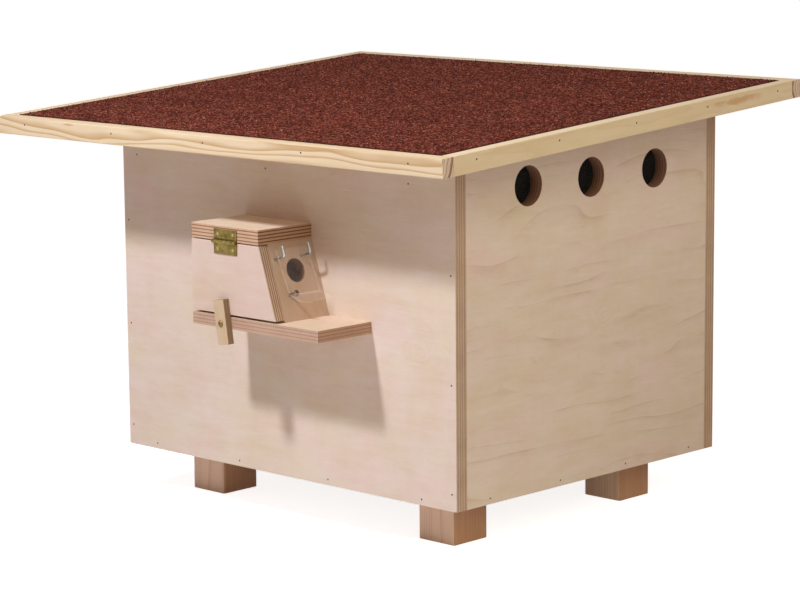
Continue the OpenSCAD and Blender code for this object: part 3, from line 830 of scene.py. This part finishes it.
def fastener_tree():
    """One head on each point, its axis along the point's facing, turned by chance about it."""
    tree, start, end = new_tree("fasteners", Head="Object", Seed="Int", Material="Material")
    given = start.outputs
    facing = node(tree, "GeometryNodeInputNamedAttribute", {"Name": "facing"}, data_type="FLOAT_VECTOR")
    upright = node(tree, "FunctionNodeAlignRotationToVector", {"Vector": facing}, axis="Z")
    angle = node(tree, "FunctionNodeRandomValue", {2: 0.0, 3: math.tau, "Seed": given["Seed"]}, out=1,
                 data_type="FLOAT")
    spin = node(tree, "FunctionNodeAxisAngleToRotation", {"Axis": (0, 0, 1), "Angle": angle})
    turned_by = node(tree, "FunctionNodeRotateRotation", {"Rotation": upright, "Rotate By": spin},
                     rotation_space="LOCAL")
    head = node(tree, "GeometryNodeObjectInfo", {"Object": given["Head"]}, out="Geometry")
    driven = node(tree, "GeometryNodeInstanceOnPoints", {"Points": given["Geometry"], "Instance": head,
                                                         "Rotation": turned_by})
    close_tree(tree, driven, given["Material"], end)
    return tree


def drive(name, tree, head, spots, look, slot, seed, *stands_for):
    """Puts a head at each (place, facing), makes them one piece, and clears the head away."""
    mesh = bpy.data.meshes.new(name)
    mesh.from_pydata([place for place, facing in spots], [], [])
    store(mesh, "facing", [facing for place, facing in spots])
    piece = grown(linked(mesh, name), tree, Head=head, Seed=seed, Material=look)
    bpy.data.objects.remove(head)
    return finish_piece(piece, look, "box", slot, *stands_for)


# Rows of brads a few millimetres inside the edges: the board, the way it faces, the way along it
# and the way up it; then for each row where it starts, its step and how many it has. A start is
# in millimetres along and up from the board's corner, or back from its far end where negative.
WALL_ROWS = (((46, 6), (129, 0), 4), ((6.5, 20), (0, 112), 3), ((-6, 18), (0, 105), 3),
             ((22, 314), (199, 0), 3))
SIDE_ROWS = (((35, 6), (103, 0), 4),)
BRAD_ROWS = (
    ("front_wall", FRONT, RIGHT, UP, WALL_ROWS),
    ("back_wall", BACK, LEFT, UP, WALL_ROWS),
    ("right_wall", RIGHT, BACK, UP, SIDE_ROWS),
    ("left_wall", LEFT, BACK, UP, SIDE_ROWS),
    ("batten_front", -UP_SLOPE, RIGHT, OFF_ROOF, (((45, 11.5), (138, 0), 5),)),
    ("batten_back", UP_SLOPE, RIGHT, OFF_ROOF, (((45, 11.5), (138, 0), 5),)),
    ("batten_right", RIGHT, UP_SLOPE, OFF_ROOF, (((32, 11.5), (114, 0), 5),)),
    ("batten_left", LEFT, UP_SLOPE, OFF_ROOF, (((32, 11.5), (114, 0), 5),)),
)


# How far the nail gun strays from its marks, in mm, and the seed of its straying
BRAD_STRAY_MM = 1.2
BRAD_SEED = 5


def brad_spots():
    """Where the brads are, each a little off its mark as a nail gun leaves them."""
    scatter = np.random.default_rng(BRAD_SEED)
    spots = []
    for name, facing, along, up, rows in BRAD_ROWS:
        ends, sides, face = reach(name, along), reach(name, up), reach(name, facing)[1]
        for (first, height), (step, rise), count in rows:
            for i in range(count):
                off = scatter.normal(0, BRAD_STRAY_MM)
                far = ends[first < 0] + (first + step * i + off * (step > 0)) * MM
                high = sides[0] + (height + rise * i + off * (rise > 0)) * MM
                spots.append((along * far + up * high + facing * face, facing))
    return spots


def round_head(shank, neck, head, crown, cross):
    """A round-head screw in millimetres: shank radius and length, head radius, rim and crown
    height, then its cross recess. Its foot is at the origin and it stands along +Z."""
    rim, rise = crown
    profile = [(0, 0), (shank, 0), (shank, neck), (head * 0.96, neck), (head, neck + 0.15)]
    screw = linked(turned(profile + dome(head, rise, neck + rim), 28), "screw")
    return cross_cut(screw, neck + rim + rise, *cross)


def add_screw(name, look, slot, axis, shank, head, crown, cross, seed, tree):
    """Puts a round-head screw where a CAD screw stands, as long as that one."""
    foot, top = reach(name, axis)
    sideways = axis.orthogonal().normalized()
    others = (sideways, axis.cross(sideways))
    middle = sum((way * (sum(reach(name, way)) / 2) for way in others), Vector())
    made = round_head(shank, (top - foot) / MM - sum(crown), head, crown, cross)
    drive(name + "_" + slot, tree, made, [(middle + axis * foot, axis)], look, slot, seed, name)


# Thickness of a hinge leaf, its screw holes' distance from its long edge, and their shares of
# its length
LEAF_MM = 1.0
LEAF_HOLE_MM = 4.9
LEAF_HOLE_SHARES = (0.17, 0.83)


def add_fasteners():
    """Brad heads in the wood, cross-head screws in the hinge, and the two round-head screws."""
    tree = fastener_tree()
    brad = linked(turned([(0, -1.0), (0.7, -1.0), (1.0, -0.05), (0.9, 0.12), (0, 0.14)], 12), "brad")
    drive("brads", tree, brad, brad_spots(), STEEL, "zinc_wire", 1)

    # Countersunk heads that stand a little proud of the leaves, in the holes of both of them
    countersunk = [(0, -1.2), (1.0, -1.1), (1.85, -0.12), (1.85, 0.0)] + dome(1.8, 0.7, 0.02)
    screw = linked(turned(countersunk, 24), "screw")
    cross_cut(screw, 0.72, 1.15, 0.5, 0.8)
    spots = []
    for leaf, way in (("hinge_leaf_upper", 1), ("hinge_leaf_lower", -1)):
        low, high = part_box(leaf)
        end = high.z if way > 0 else low.z
        for share in LEAF_HOLE_SHARES:
            spots.append((Vector((low.x + share * (high.x - low.x), high.y - LEAF_MM * MM,
                                  end - way * LEAF_HOLE_MM * MM)), FRONT))
    drive("hinge_screws", tree, screw, spots, SCREW_BRASS, "brass", 3)

    add_screw("stop_screw", BRONZED, "bronzed_screw", OFF_ENTRANCE, 1.6, 3.25, (0.7, 1.6),
              (1.9, 0.75, 1.3), 2, tree)
    add_screw("button_screw", DARK_BRASS, "brass", FRONT, 1.5, 3.2, (0.5, 1.3), (1.9, 0.75, 1.2), 5, tree)


add_fasteners()


# ---------- Hinge, hooks and flap ----------

# Thickness of the flap's sheet, the depth behind a face past which it is a sawn edge, and the
# area in square metres past which a face is flat
SHEET_MM = 1.5
SAWN_MM = 1.2 * SHEET_MM
FLAT_AREA = 0.00015
# Softened edges of the sheet and the hinge, and of the hooks' wire, in mm
SHEET_ARRIS = 0.12
WIRE_ARRIS = 0.2


def sawn_faces(mesh):
    """1 for each face with more than the sheet's thickness behind it, which a saw or drill made."""
    form = BVHTree.FromPolygons([v.co for v in mesh.vertices], [p.vertices for p in mesh.polygons])
    behind = (form.ray_cast(p.center - p.normal * MERGE, -p.normal)[3] for p in mesh.polygons)
    return [float(deep is None or deep > SAWN_MM * MM) for deep in behind]


def add_metalwork():
    """The hinge and the hooks with fine softened edges, and the flap with its frosted ones."""
    for name in ("hinge_leaf_upper", "hinge_leaf_lower", "hinge_pin"):
        add_smooth(name, BRASS, "brass", arris=SHEET_ARRIS)
    for name in ("hook_front", "hook_rear"):
        add_smooth(name, ZINC, "zinc_wire", arris=WIRE_ARRIS)
    flap = add_smooth("flap", ACRYLIC, "clear_sheet", body="flap", arris=SHEET_ARRIS)
    # Only the bend is shaded smooth, so that the flat stretches stay flat
    for face in flap.data.polygons:
        face.use_smooth = face.use_smooth and face.area < FLAT_AREA
    # The bend's faces carry the painted reflection band
    bent = [float(face.use_smooth) for face in flap.data.polygons]
    store(flap.data, "cut", [(sawn, curved, 0) for sawn, curved in zip(sawn_faces(flap.data), bent)],
          "FACE")
    # So thin and clear a sheet neither shades nor tints the wood behind it
    flap.visible_shadow = False
    flap.visible_diffuse = False


add_metalwork()


# ---------- Floor and light ----------

# Half the floor's width in metres, and the glow that lifts its lit grey to white
FLOOR_HALF = 12.0
FLOOR_LIFT = 0.82
# What the lamps look at
LAMPS_LOOK_AT = Vector((0, 0, 0.25))


def background_ray(tree):
    """1 where a ray comes from the camera or off a glossy surface, which should see white."""
    rays = node(tree, "ShaderNodeLightPath", out=None).outputs
    return node(tree, MATH, (rays["Is Camera Ray"], rays["Is Glossy Ray"]), operation="MAXIMUM")


def add_floor():
    """A wide white floor that keeps a soft shadow. Its underside is clear."""
    mesh = bpy.data.meshes.new("floor")
    corners = ((-1, -1), (1, -1), (1, 1), (-1, 1))
    mesh.from_pydata([(x * FLOOR_HALF, y * FLOOR_HALF, 0) for x, y in corners], [], [(0, 1, 2, 3)])
    floor = linked(mesh, "floor")
    look, tree, shader = material("white floor", Roughness=0.9, Base_Color=colour("#E6E6E6"),
                                  Emission_Color=(1, 1, 1, 1))
    wire(tree, shader, Emission_Strength=times(tree, background_ray(tree), FLOOR_LIFT))
    under = node(tree, "ShaderNodeNewGeometry", out="Backfacing")
    clear = node(tree, "ShaderNodeBsdfTransparent")
    both = node(tree, "ShaderNodeMixShader", (under, shader.outputs[0], clear))
    tree.links.new(both, tree.nodes["Material Output"].inputs["Surface"])
    floor.data.materials.append(look)


def add_light(name, at, size, power, tint):
    """A round soft lamp that looks at the middle of the box."""
    data = bpy.data.lights.new(name, "AREA")
    data.shape = "DISK"
    data.size = size
    data.energy = power
    data.color = colour(tint)[:3]
    lamp = bpy.data.objects.new(name, data)
    bpy.context.scene.collection.objects.link(lamp)
    lamp.location = at
    lamp.rotation_mode = "QUATERNION"
    lamp.rotation_quaternion = (LAMPS_LOOK_AT - Vector(at)).to_track_quat("-Z", "Y")


def light_studio():
    """A key lamp in front and above, a broad fill from the right, and an even warm grey surround."""
    add_light("key", (-0.08, -1.05, 1.275), 0.15, 15.5, "#EFF2FF")
    add_light("fill", (2.1, -0.6, 1.55), 1.5, 21.6, "#F8F4DE")
    world = bpy.data.worlds.new("surround")
    bpy.context.scene.world = world
    world.use_nodes = True
    tree = world.node_tree
    glow = blend(tree, background_ray(tree), colour("#7E6B68"), (1, 1, 1, 1))
    tree.links.new(glow, tree.nodes["Background"].inputs["Color"])


add_floor()
light_studio()
bpy.context.scene.view_settings.view_transform = "Standard"
